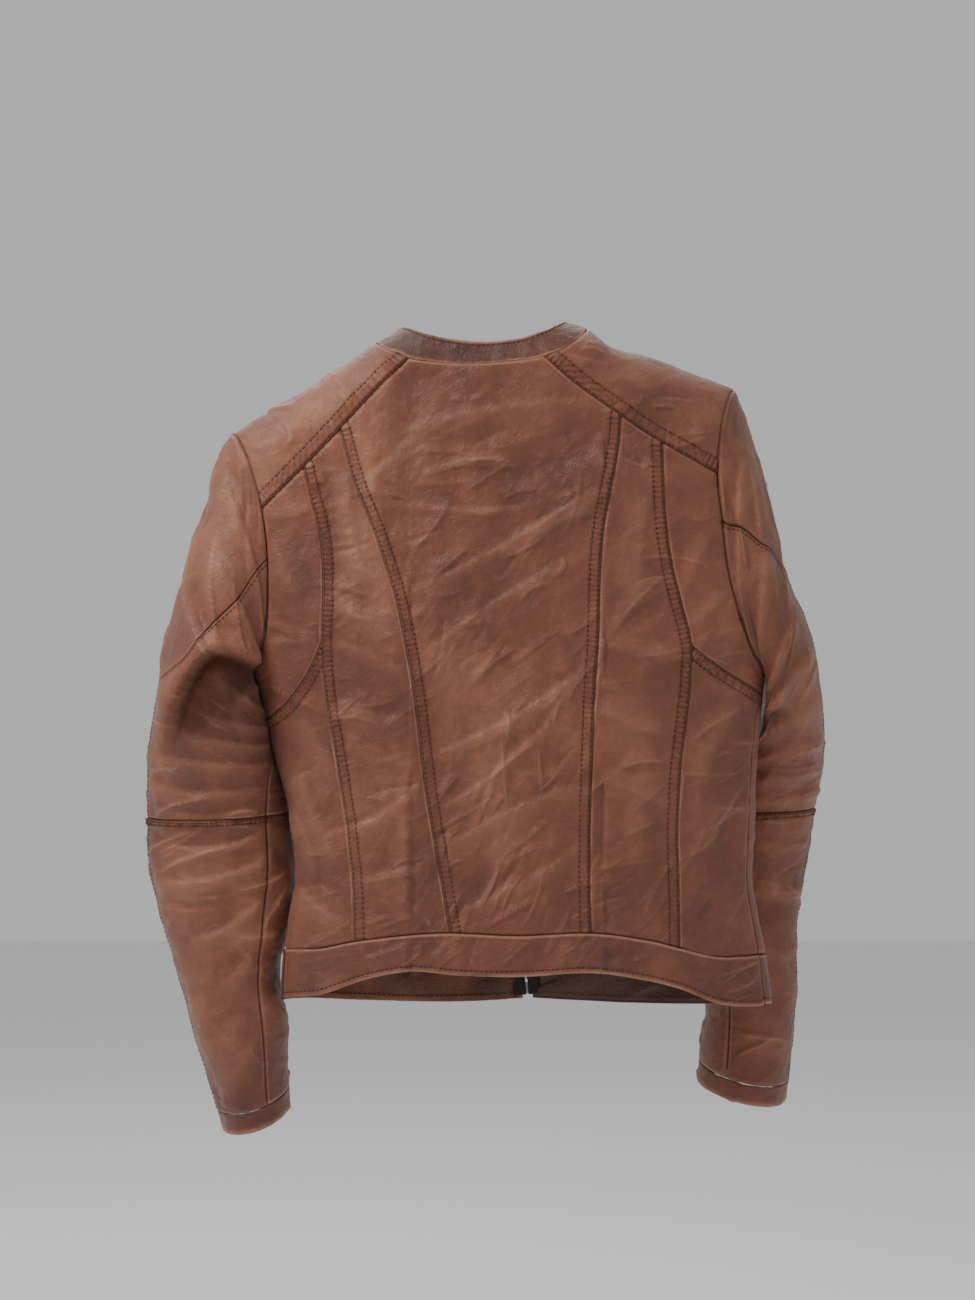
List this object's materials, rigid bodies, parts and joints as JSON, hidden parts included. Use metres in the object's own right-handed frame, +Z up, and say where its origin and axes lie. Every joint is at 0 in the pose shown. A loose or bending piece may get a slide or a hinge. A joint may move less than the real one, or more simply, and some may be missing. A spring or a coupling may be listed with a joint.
{
  "type": "leather riding jacket",
  "caption": "Short leather riding jacket with a band collar, shoulder yokes, curved seams, long sleeves and a closed front zip, hanging.",
  "frame": {"origin": "middle of the back neck seam, where the jacket rests on a hanger", "axes": "+Z up, +X to the wearer's left, the front of the jacket faces -Y"},
  "size_m": [0.576, 0.2018, 0.683],
  "materials": {
    "cognac_leather": "satin",
    "lining_cloth": "matte",
    "zip_tape": "matte",
    "zip_metal": "satin"
  },
  "bodies": {
    "jacket_body": {"back_center_panel": "cognac_leather", "waistband_back": "cognac_leather", "collar_band": "cognac_leather", "collar_facing": "cognac_leather", "lining_back": "lining_cloth", "zip_retainer_box": "zip_metal", "back_mid_panel_left": "cognac_leather", "back_armhole_panel_left": "cognac_leather", "back_side_panel_left": "cognac_leather", "shoulder_yoke_left": "cognac_leather", "front_panel_left": "cognac_leather", "front_side_panel_left": "cognac_leather", "waistband_front_left": "cognac_leather", "lining_front_left": "lining_cloth", "zip_tape_left": "zip_tape", "zip_teeth_left": "zip_metal", "back_mid_panel_right": "cognac_leather", "back_armhole_panel_right": "cognac_leather", "back_side_panel_right": "cognac_leather", "shoulder_yoke_right": "cognac_leather", "front_panel_right": "cognac_leather", "front_side_panel_right": "cognac_leather", "waistband_front_right": "cognac_leather", "lining_front_right": "lining_cloth", "zip_tape_right": "zip_tape", "zip_teeth_right": "zip_metal"},
    "upper_sleeve_left": {"sleeve_back_upper_left": "cognac_leather", "sleeve_front_upper_left": "cognac_leather", "sleeve_lining_upper_left": "lining_cloth"},
    "lower_sleeve_left": {"sleeve_back_lower_left": "cognac_leather", "sleeve_front_lower_left": "cognac_leather", "sleeve_lining_lower_left": "lining_cloth", "cuff_hem_left": "cognac_leather"},
    "upper_sleeve_right": {"sleeve_back_upper_right": "cognac_leather", "sleeve_front_upper_right": "cognac_leather", "sleeve_lining_upper_right": "lining_cloth"},
    "lower_sleeve_right": {"sleeve_back_lower_right": "cognac_leather", "sleeve_front_lower_right": "cognac_leather", "sleeve_lining_lower_right": "lining_cloth", "cuff_hem_right": "cognac_leather"},
    "slider": {"zip_slider": "zip_metal", "zip_pull_arch": "zip_metal"},
    "pull": {"zip_pull": "zip_metal"}
  },
  "joints": [
    {"name": "shoulder_left", "type": "hinge", "parent": "jacket_body", "child": "upper_sleeve_left", "pos_m": [0.21, 0, -0.061], "axis": [0, -1, 0], "range_deg": [0, 75]},
    {"name": "shoulder_right", "type": "hinge", "parent": "jacket_body", "child": "upper_sleeve_right", "pos_m": [-0.21, 0, -0.024], "axis": [0, 1, 0], "range_deg": [0, 75]},
    {"name": "elbow_left", "type": "hinge", "parent": "upper_sleeve_left", "child": "lower_sleeve_left", "pos_m": [0.228, -0.0665, -0.38], "axis": [-1, 0, 0], "range_deg": [0, 60], "stiffness_Nm_per_rad": 0.3, "springref_deg": -22.92},
    {"name": "elbow_right", "type": "hinge", "parent": "upper_sleeve_right", "child": "lower_sleeve_right", "pos_m": [-0.243, -0.131, -0.379], "axis": [-1, 0, 0], "range_deg": [0, 60], "stiffness_Nm_per_rad": 0.3, "springref_deg": -22.92},
    {"name": "zip_slide", "type": "slide", "parent": "jacket_body", "child": "slider", "axis": [-0.0789, 0, -0.9969], "range_m": [0, 0.435]},
    {"name": "zip_pull_hinge", "type": "hinge", "parent": "slider", "child": "pull", "pos_m": [-0.00208, -0.0657, -0.08066], "axis": [-0.9969, 0, 0.0789], "range_deg": [0, 85]}
  ]
}
